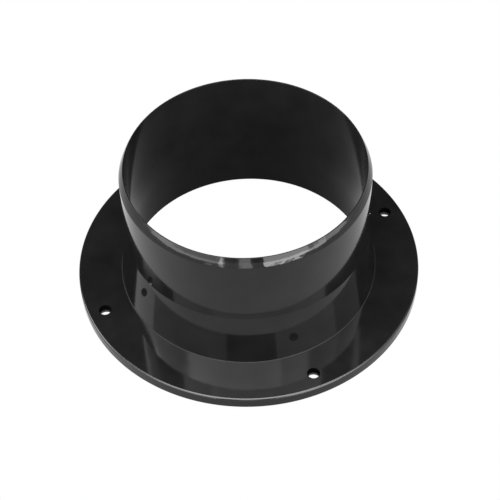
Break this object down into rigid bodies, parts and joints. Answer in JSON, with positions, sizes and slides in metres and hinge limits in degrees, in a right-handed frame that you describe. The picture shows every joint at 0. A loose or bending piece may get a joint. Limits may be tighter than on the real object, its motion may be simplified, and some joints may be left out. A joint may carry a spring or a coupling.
{
  "type": "toilet flange",
  "caption": "Round screw-down flange with an open spigot, straight above and flared below, for a toilet outlet or vent pipe, in black plastic.",
  "frame": {"origin": "centre of the bore, in the plane of the face that the flange rests on", "axes": "+Z along the spigot's axis, towards its open tip; +X through one screw hole and +Y through the next"},
  "size_m": [0.141, 0.141, 0.0627],
  "materials": {
    "flange_abs": "polished black ABS moulding",
    "spigot_abs": "polished black ABS moulding",
    "solvent_cement": "cured black solvent cement, smooth",
    "foam_gasket": "closed-cell black foam, matte"
  },
  "bodies": {
    "root": {"flange_plate": "flange_abs", "spigot": "spigot_abs", "cement_bead": "solvent_cement", "gasket": "foam_gasket"}
  },
  "joints": []
}
